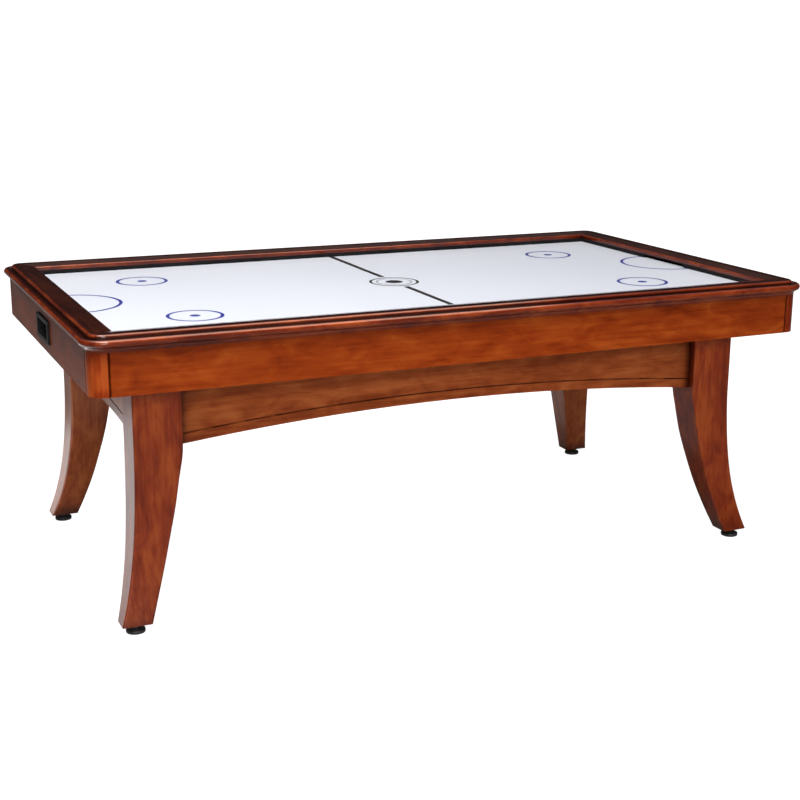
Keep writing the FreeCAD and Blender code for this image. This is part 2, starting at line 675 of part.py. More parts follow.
def blower():
    """Housing, finger guard, motor on its bracket, fan wheel and shaft."""
    top = FLOOR_Z0
    inner = BLOW_R - BLOW_WALL
    housing = tube(BLOW_R, inner, BLOW_Z0, top)
    housing = housing.fuse(tube(BLOW_R, INTAKE_R, BLOW_Z0, BLOW_Z0 + BLOW_WALL))
    housing = housing.fuse(tube(BLOW_FLANGE_R, inner, top - BLOW_WALL, top))
    for x, y in cross_points(RIM_SCREWS, 45):
        housing = housing.cut(cyl(2.2, V(x, y, top - 5), V(x, y, top + 1)))
    for x, y in cross_points(GUARD_SCREWS, 0):
        housing = housing.cut(cyl(1.6, V(x, y, BLOW_Z0 - 1), V(x, y, BLOW_Z0 + 5)))
    save("blower_housing", housing)

    bar = box(-GUARD_HALF, GUARD_HALF, -1.5, 1.5, GUARD_Z, GUARD_Z + GUARD_BAR)
    guard = bar.copy()
    bar.rotate(V(0, 0, 0), V(0, 0, 1), 90)
    guard = guard.fuse(bar)
    wire_z = GUARD_Z + 1.5 * WIRE_R
    for r in GUARD_RINGS:
        guard = guard.fuse(Part.makeTorus(r, WIRE_R, V(0, 0, wire_z)))
    for x, y in cross_points(GUARD_SCREWS, 0):
        ear = cyl(EAR_R, V(x, y, GUARD_Z + WIRE_R), V(x, y, BLOW_Z0))
        guard = guard.fuse(ear).cut(cyl(2.0, V(x, y, GUARD_Z - 5), V(x, y, BLOW_Z0 + 5)))
    save("finger_guard", guard)

    bracket = tube(BRACKET_HUB[0], BRACKET_HUB[1], FLOOR_Z1, MOTOR_Z0)
    for i in range(4):
        arm = box(ARM_RUN[0], ARM_RUN[1], -ARM_HALF, ARM_HALF, FLOOR_Z1, MOTOR_Z0)
        arm.rotate(V(0, 0, 0), V(0, 0, 1), 90 * i)
        bracket = bracket.fuse(arm)
    for x, y in cross_points(RIM_SCREWS, 0):
        bracket = bracket.cut(cyl(2.2, V(x, y, FLOOR_Z1 - 1), V(x, y, MOTOR_Z0 + 1)))
    save("motor_bracket", bracket)

    can_top = MOTOR_Z1 - MOTOR_CAP_H
    z = LEAD_MOTOR_Z
    motor = cyl(MOTOR_R, V(0, 0, MOTOR_Z0), V(0, 0, can_top))
    motor = motor.fuse(cyl(MOTOR_CAP_R, V(0, 0, can_top), V(0, 0, MOTOR_Z1)))
    motor = motor.fuse(cyl(GLAND_R, V(0.5 * LEAD_IN, 0.5 * LEAD_IN, z), V(LEAD_IN, LEAD_IN, z)))
    motor = motor.cut(cyl(SHAFT_R + RUN_GAP, V(0, 0, MOTOR_Z0 - 1), V(0, 0, can_top - 4)))
    save("blower_motor", motor)
    save("motor_shaft", cyl(SHAFT_R, V(0, 0, SHAFT_Z0), V(0, 0, can_top - 6)))
    save("fan_wheel", fan_wheel())

    heads = []
    for x, y in cross_points(RIM_SCREWS, 45):
        shank = cyl(2.0, V(x, y, top - BLOW_WALL - 0.2), V(x, y, FLOOR_Z1))
        heads.append(shank.fuse(cyl(4.0, V(x, y, top - BLOW_WALL - 2.4), V(x, y, top - BLOW_WALL))))
    for x, y in cross_points(GUARD_SCREWS, 0):
        shank = cyl(1.5, V(x, y, GUARD_Z), V(x, y, BLOW_Z0 + BLOW_WALL))
        head_top = GUARD_Z + WIRE_R
        heads.append(shank.fuse(cyl(3.2, V(x, y, head_top - 2.0), V(x, y, head_top))))
    for x, y in cross_points(RIM_SCREWS, 0):
        heads.append(cyl(4.0, V(x, y, MOTOR_Z0), V(x, y, MOTOR_Z0 + 2.2)))
    save("blower_screws", *heads)


def fan_wheel():
    """Backplate with a ring of curved blades, bored for the shaft."""
    wheel = tube(WHEEL_R, SHAFT_R, *WHEEL_Z)
    wheel = wheel.fuse(tube(HUB_R, SHAFT_R, *HUB_Z))
    wheel = wheel.fuse(tube(WHEEL_R, RING_IN, *RING_Z))
    z = RING_Z[1] - 0.5
    rise = V(0, 0, WHEEL_Z[0] + 0.5 - z)
    front = [(r, math.radians(a)) for r, a in BLADE_LINE]
    back = [(r, a + math.radians(BLADE_DEG)) for r, a in reversed(front)]
    outline = [V(r * math.cos(a), r * math.sin(a), z) for r, a in front + back]
    for i in range(BLADES):
        blade = prism(outline, rise)
        blade.rotate(V(0, 0, 0), V(0, 0, 1), 360.0 * i / BLADES)
        wheel = wheel.fuse(blade)
    return wheel


def routed_tube(points, bends, r):
    """Round tube along straight runs joined by tangent arcs."""
    edges = []
    last = points[0]
    for before, corner, after, bend in zip(points, points[1:], points[2:], bends):
        a = before.sub(corner).normalize()
        b = after.sub(corner).normalize()
        half = a.getAngle(b) / 2
        reach = bend / math.tan(half)
        start = corner.add(V(a).multiply(reach))
        end = corner.add(V(b).multiply(reach))
        inward = a.add(b).normalize()
        middle = corner.add(inward.multiply(bend / math.sin(half) - bend))
        if last.distanceToPoint(start) > 0.01:
            edges.append(Part.makeLine(last, start))
        edges.append(Part.Arc(start, middle, end).toShape())
        last = end
    edges.append(Part.makeLine(last, points[-1]))
    first = points[1].sub(points[0])
    section = Part.Wire([Part.makeCircle(r, points[0], first)])
    return Part.Wire(edges).makePipeShell([section], True, False)


def motor_lead():
    """Fixed lead from the inlet to the motor, with the saddles that hold it."""
    y0 = HALF_WID + PANEL_T - INLET_DEEP
    z = LEAD_Z
    up = LEAD_UP
    route = [V(INLET_X, y0, PANEL_Z), V(INLET_X, LEAD_Y + 100, PANEL_Z),
             V(INLET_X - 30, LEAD_Y + 36, z), V(INLET_X - 90, LEAD_Y, z),
             V(up, LEAD_Y, z), V(up, up, z),
             V(up, up, LEAD_MOTOR_Z), V(LEAD_IN, LEAD_IN, LEAD_MOTOR_Z)]
    bends = [LEAD_BEND] * 4 + [LEAD_TURN] * 2
    save("motor_lead", routed_tube(route, bends, LEAD_R))
    saddles = []
    for x, y, along_x in SADDLES:
        dx, dy = SADDLE_HALF if along_x else reversed(SADDLE_HALF)
        block = box(x - dx, x + dx, y - dy, y + dy, z - LEAD_R - 3, FLOOR_Z0)
        step = V(20, 0, 0) if along_x else V(0, 20, 0)
        saddles.append(block.cut(cyl(LEAD_R + 0.1, V(x, y, z).sub(step), V(x, y, z).add(step))))
    save("lead_saddles", *saddles)


def power():
    """Plate with the rocker switch and the mains inlet, and the lead to the motor."""
    y = HALF_WID
    plate = slab(PANEL_X, PANEL_W, PANEL_Z, PANEL_H, 5, y, y + PANEL_T)
    for x in (SWITCH_X, INLET_X):
        plate = plate.cut(box(x - CUT_W / 2, x + CUT_W / 2, y - 1, y + 5,
                              PANEL_Z - CUT_H / 2, PANEL_Z + CUT_H / 2))
    dx, dz = PLATE_SCREWS
    corners = [(PANEL_X + sx * dx, PANEL_Z + sz * dz) for sx in (-1, 1) for sz in (-1, 1)]
    for cx, cz in corners:
        plate = plate.cut(cyl(1.7, V(cx, y - 1, cz), V(cx, y + 5, cz)))
    save("power_plate", plate)

    front = y + PANEL_T
    half = ROCKER_W / 2
    pivot = V(SWITCH_X, front - 3, PANEL_Z)
    body = slab(SWITCH_X, SHELL_W, PANEL_Z, SHELL_H, 1.5, front - SWITCH_DEEP, front)
    body = body.fuse(slab(SWITCH_X, LIP_W, PANEL_Z, LIP_H, 3, front, front + LIP_T))
    body = body.cut(box(SWITCH_X - half - 0.4, SWITCH_X + half + 0.4, front - 10, front + 3,
                        PANEL_Z - POCKET_H, PANEL_Z + POCKET_H))
    reach = V(half + 1.9, 0, 0)
    body = body.cut(cyl(PIVOT_R + RUN_GAP, pivot.sub(reach), pivot.add(reach)))
    save("switch_body", body)

    x = SWITCH_X - half
    back = pivot.y - 3.4
    section = [V(x, back, PANEL_Z - 7.4), V(x, front + 3.2, PANEL_Z - 7.8), V(x, front + 1.9, PANEL_Z),
               V(x, front + 3.2, PANEL_Z + 7.8), V(x, back, PANEL_Z + 7.4)]
    rocker = prism(section, V(ROCKER_W, 0, 0))
    reach = V(half + 1.6, 0, 0)
    rocker = rocker.fuse(cyl(PIVOT_R, pivot.sub(reach), pivot.add(reach)))
    rocker.rotate(pivot, V(1, 0, 0), -ROCK_DEG)
    save("switch_rocker", rocker)

    inlet = slab(INLET_X, SHELL_W, PANEL_Z, SHELL_H, 1.5, front - INLET_DEEP, front)
    inlet = inlet.fuse(slab(INLET_X, LIP_W, PANEL_Z, LIP_H, 3, front, front + LIP_T))
    inlet = inlet.cut(box(INLET_X - 12, INLET_X + 12, front - 14, front + 3, PANEL_Z - 8, PANEL_Z + 8))
    for dx, dz in PINS:
        x, z = INLET_X + dx, PANEL_Z + dz
        inlet = inlet.fuse(box(x - 1, x + 1, front - 16, front - 3, z - 2, z + 2))
    save("power_inlet", inlet)

    screws = []
    for cx, cz in corners:
        head = cyl(3.0, V(cx, front, cz), V(cx, front + 1.6, cz))
        screws.append(head.fuse(cyl(1.6, V(cx, y, cz), V(cx, front + 0.5, cz))))
    x = HALF_LEN + BEZEL_PROUD
    for a, b in ((-1, -1), (-1, 1), (1, -1), (1, 1)):
        z = RETURN_Z + b * BEZEL_SCREW_Z
        y = a * BEZEL_SCREW_X
        screw = cyl(BEZEL_BORE - 0.1, V(HALF_LEN, y, z), V(x, y, z))
        screw = screw.fuse(cyl(3.4, V(x, y, z), V(x + 1.4, y, z)))
        screws += [screw, mirrored(screw, -1, 1)]
    save("trim_screws", *screws)


cabinet()
rails()
playfield()
liners()
plenum()
goals()
underframe()
leg_hardware()
levelers()
blower()
power()
motor_lead()
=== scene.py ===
import math

import bmesh
import bpy
from mathutils import Matrix, Vector


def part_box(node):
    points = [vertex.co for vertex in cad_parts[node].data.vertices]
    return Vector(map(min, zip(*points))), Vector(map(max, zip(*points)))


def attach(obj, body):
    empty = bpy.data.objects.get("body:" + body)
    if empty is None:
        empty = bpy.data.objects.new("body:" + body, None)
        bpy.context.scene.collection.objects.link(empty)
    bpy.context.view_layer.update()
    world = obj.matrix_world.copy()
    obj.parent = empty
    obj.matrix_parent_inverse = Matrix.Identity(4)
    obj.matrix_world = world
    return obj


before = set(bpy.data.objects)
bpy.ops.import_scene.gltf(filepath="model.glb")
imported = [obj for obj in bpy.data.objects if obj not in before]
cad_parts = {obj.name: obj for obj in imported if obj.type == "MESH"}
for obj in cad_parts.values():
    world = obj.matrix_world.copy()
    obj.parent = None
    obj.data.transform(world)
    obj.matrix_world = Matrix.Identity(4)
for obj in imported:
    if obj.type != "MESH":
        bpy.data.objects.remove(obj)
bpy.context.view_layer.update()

# ---------------------------------------------------------------- values, in metres

CAMERA_AT = (-1.71795, -3.91386, 1.52621)
CAMERA_YAW = 24.0            # degrees to the right of +Y
CAMERA_PITCH = 14.57         # degrees below the horizon
CAMERA_ROLL = 0.33
CAMERA_LENS = 63.935         # millimetres, as the sensor's width is
SENSOR_WIDTH = 36.0
CLIP_NEAR, CLIP_FAR = 0.05, 200.0

INK = 0.0002                 # thickness of a printed mark
SPOT_X, SPOT_Y = 0.704, 0.290
RING_R = 0.0729
RING_LINE = 0.0096
DOT_R = 0.0145
CREASE_R = 0.1365
CREASE_CLEAR = 0.004         # radians that a crease stops short of the liner
LINE_HALF = 0.0090
LINE_CLEAR = 0.0005          # the centre line stops this short of the liners
LINE_GAP = (-0.097, 0.085)   # the centre line leaves this free for the mark
MARK_R = 0.072
MARK_HALF = 0.004
MARK_DISC_R = 0.026
HALO_IN, HALO_OUT = MARK_R - 0.022, MARK_R - 0.016

WORLD_LOW, WORLD_HIGH = 0.02, 0.50   # light from the room near the horizon and overhead
WORLD_RISE = 0.24            # sine of the height at which it begins to brighten
WORLD_SEEN = 1.05            # what the camera sees of it
FLOOR_RADII = (2.0, 6.0, 14.0, 40.0, 120.0)
FLOOR_GLOW = 0.95            # what the camera sees of the floor, besides its own light
POOL_Z = 0.01                # glossy lights that lie just over the floor

QUADRANTS = ("front_left", "front_right", "back_left", "back_right")
WHITE = (1, 1, 1, 1)

# wood: the share of each layer in the figure
BANDS_SHARE, CLOUD_SHARE, FIBRE_SHARE = 0.34, 0.36, 0.30
PORE_TINT = 0.25
WORN_RADIUS = 0.0022
WORN_LOW, WORN_HIGH = 0.05, 0.30
# wood: painted shade near other pieces, and painted shade in grooves
SHADE_OPEN, SHADE_SHUT = 0.97, 0.52
SHADE_TINT = (0.16, 0.12, 0.12, 1)
SHADE_STRENGTH = 0.92
GROOVE_SHADE_REACH = 0.022
GROOVE_SHADE_SPAN = 0.44
GROOVE_SHADE_DEPTH = 0.12
# wood: painted shade that darkens the wood towards the feet
TOE_FROM, TOE_TO = 0.45, 0.03
TOE_SHADE_TINT = (0.25, 0.22, 0.30, 1)
# stain colours: dark, middle and light; one is darkened as painted shade and one lightened as
# painted light
CHERRY = ((0.190, 0.0210, 0.0020), (0.310, 0.0430, 0.0042), (0.430, 0.0800, 0.0100))
# the cherry stain darkened for the end aprons: painted shade on the table's ends
SHADED_END_STAIN = ((0.125, 0.0150, 0.0020), (0.205, 0.0300, 0.0040), (0.300, 0.0560, 0.0090))
PALE = ((0.255, 0.0460, 0.0095), (0.380, 0.0800, 0.0180), (0.495, 0.1250, 0.0320))
SOLID = ((0.195, 0.0200, 0.0030), (0.320, 0.0420, 0.0066), (0.440, 0.0790, 0.0125))
# a paler leg stain for the back legs: painted light on legs that the table shades
LIT_BACK_STAIN = ((0.300, 0.0560, 0.0120), (0.450, 0.1000, 0.0230), (0.580, 0.1550, 0.0400))
RAIL = ((0.105, 0.0100, 0.0020), (0.190, 0.0220, 0.0036), (0.300, 0.0470, 0.0075))
# where each kind of board is cut from the figure
STRETCHER_CUT = (3.1, 0.4, 1.7)
POST_CUT = (1.3, 2.1, 0.4)
LEG_CUT = (0.7, 0.3, 1.9)


# ---------------------------------------------------------------- node materials

def shader_node(tree, kind, inputs=(), **settings):
    """A node with its settings and inputs: a socket is linked, anything else is its value."""
    node = tree.nodes.new("ShaderNode" + kind)
    for key, value in settings.items():
        setattr(node, key, value)
    for key, value in dict(inputs).items():
        if isinstance(value, bpy.types.NodeSocket):
            tree.links.new(value, node.inputs[key])
        else:
            node.inputs[key].default_value = value
    return node


class Look:
    """A material under construction, with short names for the nodes used here."""

    def __init__(self, name):
        self.material = bpy.data.materials.new(name)
        self.material.use_nodes = True
        self.tree = self.material.node_tree
        self.tree.nodes.clear()
        self.place = shader_node(self.tree, "TexCoord").outputs["Object"]

    def stretched(self, scale, shift=(0, 0, 0)):
        node = shader_node(self.tree, "Mapping", {
            0: self.place, "Location": shift, "Scale": scale})
        return node.outputs[0]

    def noise(self, vector, scale=1.0, detail=3.0, rough=0.5, distortion=0.0):
        node = shader_node(self.tree, "TexNoise", {
            "Vector": vector, "Scale": scale, "Detail": detail, "Roughness": rough,
            "Distortion": distortion})
        return node.outputs["Fac"]

    def ramp(self, value, stops):
        node = shader_node(self.tree, "ValToRGB", {0: value})
        band = node.color_ramp
        band.interpolation = "LINEAR"
        while len(band.elements) < len(stops):
            band.elements.new(0.5)
        for element, (at, colour) in zip(band.elements, stops):
            element.position = at
            element.color = (*colour, 1)
        return node.outputs["Color"]

    def levels(self, value, low, high, to_low=0.0, to_high=1.0):
        node = shader_node(self.tree, "MapRange", {
            0: value, 1: low, 2: high, 3: to_low, 4: to_high})
        return node.outputs[0]

    def math(self, operation, a, b):
        return shader_node(self.tree, "Math", {0: a, 1: b}, operation=operation).outputs[0]

    def blend_of(self, *layers):
        """The sum of (value, share) layers."""
        total = None
        for value, share in layers:
            part = self.math("MULTIPLY", value, share)
            total = part if total is None else self.math("ADD", total, part)
        return total

    def mix(self, fac, a, b, blend="MIX"):
        node = shader_node(self.tree, "MixRGB", {0: fac, 1: a, 2: b}, blend_type=blend)
        return node.outputs[0]

    def bump(self, height, strength, distance):
        inputs = {"Height": height, "Strength": strength, "Distance": distance}
        return shader_node(self.tree, "Bump", inputs).outputs[0]

    def height(self):
        return shader_node(self.tree, "SeparateXYZ", {0: self.place}).outputs[2]

    def worn_edge(self, radius):
        """0 on flat ground, rising to 1 along convex and concave edges."""
        soft = shader_node(self.tree, "Bevel", {"Radius": radius}, samples=6).outputs[0]
        flat = shader_node(self.tree, "NewGeometry").outputs["Normal"]
        dot = shader_node(self.tree, "VectorMath", {0: soft, 1: flat}, operation="DOT_PRODUCT")
        return self.levels(dot.outputs["Value"], 0.995, 0.80)

    def crevice(self, reach, open_at, shut_at):
        """0 on open ground, rising to 1 in grooves and inner corners."""
        node = shader_node(self.tree, "AmbientOcclusion", {"Distance": reach},
                           samples=6, only_local=False)
        return self.levels(node.outputs["AO"], open_at, shut_at)

    def facing_up(self):
        """1 on level ground, 0 on slopes and uprights."""
        normal = shader_node(self.tree, "NewGeometry").outputs["Normal"]
        lift = shader_node(self.tree, "SeparateXYZ", {0: normal}).outputs[2]
        return self.levels(lift, 0.80, 0.97)

    def shade(self, **inputs):
        sockets = {key.replace("_", " "): value for key, value in inputs.items()}
        shader = shader_node(self.tree, "BsdfPrincipled", sockets)
        shader_node(self.tree, "OutputMaterial", {"Surface": shader.outputs[0]})
        return self.material


def along(axis, run, cross):
    """Scale vector that is run along the grain axis and cross on the other two."""
    return tuple(run if a == axis else cross for a in "xyz")


def wood(name, axis, stain, gloss=0.30, level=0.14, spread=0.085, top_shade=1.0, toe_shade=0.0,
         line=0.84, reach=0.070, shift=(0, 0, 0)):
    """Stained and lacquered hardwood with its grain along one axis.

    A wider spread calms the figure, top paints shade on level faces, toe is how much painted
    shade darkens the wood towards the floor, a higher line lets more painted shade into the
    grooves, and reach is how far the painted shade near other pieces spreads.
    """
    dark, mid, light = stain
    look = Look(name)
    bands = look.noise(look.stretched(along(axis, 1.6, 9.0), shift), 1.0, 4.0, 0.55, 1.6)
    cloud = look.noise(look.stretched(along(axis, 9.0, 20.0), shift), 1.0, 3.0, 0.55, 1.0)
    fibre = look.noise(look.stretched(along(axis, 3.5, 95.0), shift), 1.0, 6.0, 0.7, 0.25)
    pores = look.noise(look.stretched(along(axis, 45.0, 700.0), shift), 1.0, 2.0, 0.6)
    flow = look.blend_of((bands, BANDS_SHARE), (cloud, CLOUD_SHARE), (fibre, FIBRE_SHARE))
    colour = look.ramp(look.levels(flow, 0.5 - spread, 0.5 + spread),
                       [(0.0, dark), (0.5, mid), (1.0, light)])
    pit = look.levels(pores, 0.62, 0.72)
    colour = look.mix(look.math("MULTIPLY", pit, PORE_TINT), colour,
                      (*[c * 0.4 for c in dark], 1))
    rubbed = look.math("MULTIPLY", look.worn_edge(WORN_RADIUS),
                       look.levels(cloud, 0.35, 0.7, WORN_LOW, WORN_HIGH))
    colour = look.mix(rubbed, colour, (*light, 1))
    # painted shade: level faces are darkened, with a cooler tint
    if top_shade < 1:
        colour = look.mix(look.facing_up(), colour, (top_shade, top_shade, top_shade * 1.6, 1), "MULTIPLY")
    # painted shade: the wood darkens towards the floor
    if toe_shade:
        foot_shade = look.levels(look.height(), TOE_FROM, TOE_TO, 0.0, toe_shade)
        colour = look.mix(foot_shade, colour, TOE_SHADE_TINT, "MULTIPLY")
    # painted shade where other pieces come near
    shelter = look.math("MULTIPLY", look.crevice(reach, SHADE_OPEN, SHADE_SHUT), SHADE_STRENGTH)
    colour = look.mix(shelter, colour, SHADE_TINT, "MULTIPLY")
    # painted shade in grooves, coves and inner corners
    groove_shade = look.math("MULTIPLY", look.crevice(GROOVE_SHADE_REACH, line, line - GROOVE_SHADE_SPAN),
                      SHADE_STRENGTH)
    colour = look.mix(groove_shade, colour, (*[c * GROOVE_SHADE_DEPTH for c in dark], 1))
    relief = look.math("SUBTRACT", look.math("MULTIPLY", fibre, 0.5),
                       look.math("MULTIPLY", pit, 0.6))
    return look.shade(
        Base_Color=colour,
        Roughness=look.levels(fibre, 0.3, 0.7, gloss - 0.04, gloss + 0.06),
        Specular_IOR_Level=level,
        Normal=look.bump(relief, 0.10, 0.0003),
    )


def moulded(name, colour, rough=0.42, speck=0.15, grain=900.0, coat=0.0, level=0.5):
    """Moulded or sprayed surface with a fine texture and a little dust."""
    look = Look(name)
    fine = look.noise(look.place, grain, 2.0, 0.6)
    broad = look.noise(look.place, 14.0, 3.0, 0.6)
    dusty = tuple(min(1, c * (1 + speck) + 0.012 * speck) for c in colour)
    tint = look.mix(look.levels(broad, 0.35, 0.7), (*colour, 1), (*dusty, 1))
    return look.shade(
        Base_Color=tint,
        Roughness=look.levels(broad, 0.3, 0.7, rough - 0.06, rough + 0.08),
        Normal=look.bump(fine, 0.12, 0.0002),
        Specular_IOR_Level=level,
        Coat_Weight=coat,
        Coat_Roughness=0.15,
    )


def metal(name, colour, rough=0.3, axis="z"):
    """Plated or drawn metal with fine lines along one axis."""
    look = Look(name)
    lines = look.noise(look.stretched(along(axis, 12.0, 1400.0)), 1.0, 3.0, 0.6)
    stain = look.noise(look.place, 45.0, 4.0, 0.6)
    dull = (*[c * 0.72 for c in colour], 1)
    tint = look.mix(look.levels(stain, 0.4, 0.75), (*colour, 1), dull)
    return look.shade(
        Base_Color=tint,
        Metallic=1.0,
        Roughness=look.levels(lines, 0.3, 0.7, rough - 0.08, rough + 0.12),
        Normal=look.bump(lines, 0.10, 0.0001),
    )


def raw_timber(name, axis, dark, light, rough=0.65):
    """Unfinished softwood with growth lines, for the hidden frame."""
    look = Look(name)
    rings = look.noise(look.stretched(along(axis, 0.7, 34.0)), 1.0, 5.0, 0.6, 1.4)
    fibre = look.noise(look.stretched(along(axis, 6.0, 260.0)), 1.0, 4.0, 0.7)
    blot = look.noise(look.place, 7.0, 4.0, 0.6)
    tone = look.blend_of((rings, 0.6), (fibre, 0.4))
    colour = look.ramp(look.levels(tone, 0.34, 0.66), [(0.0, dark), (1.0, light)])
    colour = look.mix(look.levels(blot, 0.55, 0.8, 0.0, 0.35), colour, (*dark, 1))
    return look.shade(
        Base_Color=colour,
        Roughness=look.levels(fibre, 0.3, 0.7, rough - 0.06, rough + 0.12),
        Normal=look.bump(fibre, 0.25, 0.0004),
    )


def plywood(name):
    """Broad rotary-cut face veneer."""
    look = Look(name)
    swirl = look.noise(look.stretched((1.3, 5.0, 30.0)), 1.0, 5.0, 0.6, 2.2)
    fibre = look.noise(look.stretched((9.0, 240.0, 240.0)), 1.0, 4.0, 0.7)
    tone = look.blend_of((swirl, 0.65), (fibre, 0.35))
    colour = look.ramp(look.levels(tone, 0.32, 0.68), [
        (0.0, (0.36, 0.22, 0.11)), (0.5, (0.50, 0.34, 0.19)), (1.0, (0.62, 0.46, 0.28))])
    return look.shade(
        Base_Color=colour,
        Roughness=look.levels(fibre, 0.3, 0.7, 0.6, 0.75),
        Normal=look.bump(fibre, 0.2, 0.0003),
    )


def playing_surface(name):
    """White laminate with a soft sheen and faint handling marks."""
    look = Look(name)
    broad = look.noise(look.place, 2.2, 3.0, 0.5, 0.4)
    scuff = look.noise(look.stretched((5.0, 42.0, 1.0)), 1.0, 3.0, 0.5, 0.4)
    fine = look.noise(look.place, 240.0, 2.0, 0.5)
    colour = look.mix(look.levels(broad, 0.35, 0.7),
                      (0.768, 0.816, 0.918, 1), (0.783, 0.826, 0.923, 1))
    colour = look.mix(look.levels(scuff, 0.62, 0.80, 0.0, 0.02), colour, (0.60, 0.63, 0.70, 1))
    return look.shade(
        Base_Color=colour,
        Roughness=look.levels(broad, 0.35, 0.7, 0.29, 0.31),
        Normal=look.bump(fine, 0.02, 0.00003),
    )


def printed(name, colour):
    """Screen-printed ink, slightly uneven."""
    look = Look(name)
    cover = look.noise(look.place, 160.0, 3.0, 0.6)
    thin = tuple(min(1, c * 1.3 + 0.02) for c in colour)
    tint = look.mix(look.levels(cover, 0.35, 0.75), (*colour, 1), (*thin, 1))
    return look.shade(
        Base_Color=tint,
        Roughness=look.levels(cover, 0.3, 0.7, 0.28, 0.40),
        Normal=look.bump(cover, 0.05, 0.0001),
    )


# ---------------------------------------------------------------- finishes for the CAD nodes

def paint(finish, *names):
    """Gives a CAD node's material slots one finish."""
    for name in names:
        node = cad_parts[name]
        if not node.material_slots:
            node.data.materials.append(finish)
        for each in node.material_slots:
            each.material = finish


def at_corners(prefix):
    return [prefix + q for q in QUADRANTS]


def finish_woodwork():
    """Lacquered pieces, and the raw timber and plywood under them."""
    paint(wood("veneer_long", "x", CHERRY, level=0.10, line=0.92, spread=0.12),
          "apron_front", "apron_back")
    # the end aprons take the darker stain as painted shade
    paint(wood("veneer_end_shaded", "y", SHADED_END_STAIN, level=0.10, spread=0.12),
          "apron_left", "apron_right")
    # the long reach paints the shade under the aprons onto the stretchers
    paint(wood("stretcher_long", "x", PALE, line=0.95, reach=0.150, shift=STRETCHER_CUT),
          "stretcher_front", "stretcher_back")
    paint(wood("stretcher_end", "y", PALE, level=0.5, line=0.95, shift=STRETCHER_CUT),
          "stretcher_left", "stretcher_right")
    paint(wood("post_wood", "z", SOLID, level=0.08, line=0.92, shift=POST_CUT),
          *at_corners("corner_post_"))
    # the front legs darken towards the floor as painted shade
    paint(wood("leg_wood", "z", SOLID, level=0.3, toe_shade=0.65, shift=LEG_CUT),
          "leg_front_left", "leg_front_right")
    # the back legs take the paler stain as painted light, with less painted shade towards the floor
    paint(wood("leg_wood_back_lit", "z", LIT_BACK_STAIN, level=0.5, toe_shade=0.2),
          "leg_back_left", "leg_back_right")
    # the rails' level faces are darkened as painted shade
    paint(wood("rail_long", "x", RAIL, gloss=0.12, level=0.42, top_shade=0.16),
          "rail_front", "rail_back")
    paint(wood("rail_end", "y", RAIL, gloss=0.12, level=0.42, top_shade=0.16),
          "rail_left", "rail_right")
    paint(raw_timber("timber_long", "x", (0.42, 0.26, 0.12), (0.66, 0.47, 0.27)),
          "floor_cleats", "plenum_frame")
    paint(raw_timber("timber_cross", "y", (0.40, 0.25, 0.12), (0.64, 0.46, 0.26)),
          "floor_joists", "leg_beams")
    paint(plywood("ply_face"), "plenum_floor")


def finish_plastics():
    """Playfield, liners, returns, blower, switch, lead and feet."""
    paint(playing_surface("field_white"), "playfield")
    paint(moulded("liner_black", (0.005, 0.005, 0.006), rough=0.55, speck=0.3, grain=500.0,
                  level=0.06),
          "liner_front", "liner_back", "liner_left", "liner_right")
    paint(moulded("return_black", (0.010, 0.010, 0.011), rough=0.38, speck=0.3, level=0.15),
          "puck_return_left", "puck_return_right", "goal_box_left", "goal_box_right")
    paint(moulded("black_plastic", (0.016, 0.016, 0.017), speck=0.35),
          "power_plate", "switch_body", "power_inlet", "fan_wheel", "blower_housing")
    paint(moulded("saddle_grey", (0.20, 0.20, 0.21), rough=0.5, speck=0.2), "lead_saddles")
    paint(moulded("rocker_red", (0.42, 0.018, 0.014), rough=0.32, coat=0.3), "switch_rocker")
    paint(moulded("lead_rubber", (0.020, 0.020, 0.021), rough=0.58, speck=0.4, grain=1200.0),
          "motor_lead")
    paint(moulded("foot_plastic", (0.022, 0.022, 0.023), rough=0.36, speck=0.4, grain=600.0),
          *at_corners("leveler_pad_"))


def finish_metals():
    """Fasteners, stems, brackets and the motor."""
    paint(metal("bright_steel", (0.58, 0.57, 0.55), 0.28),
          "leg_bolts", "leveler_inserts", "motor_shaft", "finger_guard",
          *at_corners("leveler_stem_"))
    paint(metal("zinc_plate", (0.52, 0.53, 0.54), 0.36, "x"), "frame_brackets", "motor_bracket")
    paint(metal("motor_can", (0.34, 0.35, 0.37), 0.42), "blower_motor")
    paint(metal("dark_screw", (0.07, 0.07, 0.075), 0.35),
          "blower_screws", "bracket_screws", "trim_screws")


# ---------------------------------------------------------------- printed marks

def add_mesh(name, mesh, finish, body="table"):
    """Puts a finished bmesh into the scene as one piece that rides on a body."""
    bmesh.ops.recalc_face_normals(mesh, faces=mesh.faces)
    data = bpy.data.meshes.new(name)
    mesh.to_mesh(data)
    mesh.free()
    piece = bpy.data.objects.new(name, data)
    bpy.context.scene.collection.objects.link(piece)
    data.materials.append(finish)
    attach(piece, body)
    return piece


def arc_points(centre, r, start, end, steps, count):
    """The first count of the points that divide an arc into equal steps."""
    for i in range(count):
        a = start + (end - start) * i / steps
        yield centre[0] + r * math.cos(a), centre[1] + r * math.sin(a)


def add_sector(mesh, centre, r_in, r_out, start, end, steps, z0, z1):
    """Thin flat ring or arc: a closed band between two radii and two angles."""
    full = abs(end - start) >= 2 * math.pi - 1e-6
    count = steps if full else steps + 1
    rings = [[mesh.verts.new((x, y, z)) for x, y in arc_points(centre, r, start, end, steps, count)]
             for r, z in ((r_in, z0), (r_out, z0), (r_out, z1), (r_in, z1))]
    for i in range(steps):
        j = (i + 1) % count
        for low, high in zip(rings, rings[1:] + rings[:1]):
            mesh.faces.new((low[i], low[j], high[j], high[i]))
    if not full:
        for i in (0, count - 1):
            mesh.faces.new([row[i] for row in rings])


